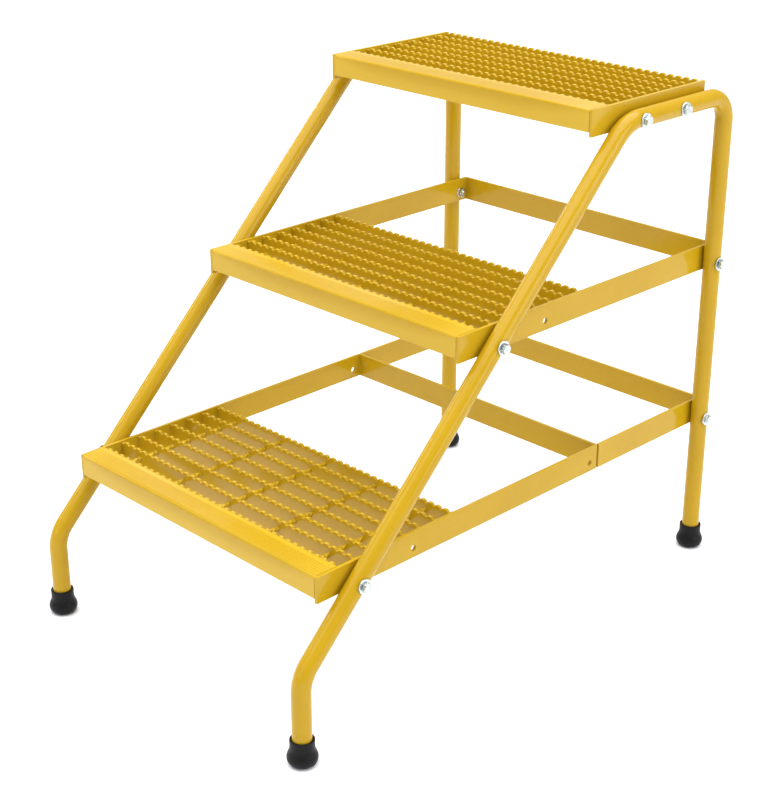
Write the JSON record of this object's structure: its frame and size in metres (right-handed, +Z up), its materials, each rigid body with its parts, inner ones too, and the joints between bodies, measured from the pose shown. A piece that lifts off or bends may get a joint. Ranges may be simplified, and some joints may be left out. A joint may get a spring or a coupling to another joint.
{
  "type": "mounting block steps",
  "caption": "Open steel mounting block in step stand form: bent tube side frames, serrated grating treads with ribbed nosings, flat bar frames and rubber feet.",
  "frame": {"origin": "on the floor, under the middle of the whole stand's footprint", "axes": "+Z up; +Y from the front of the lowest tread towards the rear legs, the way a climber faces; +X to that climber's right"},
  "size_m": [0.5772, 0.8812, 0.758],
  "materials": {
    "yellow_coat": "satin yellow powder coat with a fine orange peel",
    "rubber": "matt black moulded rubber",
    "zinc": "bright zinc plated steel"
  },
  "bodies": {
    "root": {"front_left_foot": "rubber", "front_right_foot": "rubber", "left_lower_front_bolt": "zinc", "left_lower_front_nut": "zinc", "left_lower_front_washer": "zinc", "left_lower_rear_bolt": "zinc", "left_lower_rear_nut": "zinc", "left_lower_rear_washer": "zinc", "left_middle_front_bolt": "zinc", "left_middle_front_nut": "zinc", "left_middle_front_washer": "zinc", "left_middle_rear_bolt": "zinc", "left_middle_rear_nut": "zinc", "left_middle_rear_washer": "zinc", "left_upper_front_bolt": "zinc", "left_upper_front_nut": "zinc", "left_upper_front_washer": "zinc", "left_upper_rear_bolt": "zinc", "left_upper_rear_nut": "zinc", "left_upper_rear_washer": "zinc", "lower_grating": "yellow_coat", "lower_nosing": "yellow_coat", "lower_tread_frame": "yellow_coat", "middle_grating": "yellow_coat", "middle_nosing": "yellow_coat", "middle_tread_frame": "yellow_coat", "rear_brace": "yellow_coat", "rear_left_foot": "rubber", "rear_right_foot": "rubber", "right_lower_front_bolt": "zinc", "right_lower_front_nut": "zinc", "right_lower_front_washer": "zinc", "right_lower_rear_bolt": "zinc", "right_lower_rear_nut": "zinc", "right_lower_rear_washer": "zinc", "right_middle_front_bolt": "zinc", "right_middle_front_nut": "zinc", "right_middle_front_washer": "zinc", "right_middle_rear_bolt": "zinc", "right_middle_rear_nut": "zinc", "right_middle_rear_washer": "zinc", "right_upper_front_bolt": "zinc", "right_upper_front_nut": "zinc", "right_upper_front_washer": "zinc", "right_upper_rear_bolt": "zinc", "right_upper_rear_nut": "zinc", "right_upper_rear_washer": "zinc", "side_frame_left": "yellow_coat", "side_frame_right": "yellow_coat", "top_grating": "yellow_coat", "top_nosing": "yellow_coat", "top_tread_plate_left": "yellow_coat", "top_tread_plate_right": "yellow_coat"}
  },
  "joints": []
}
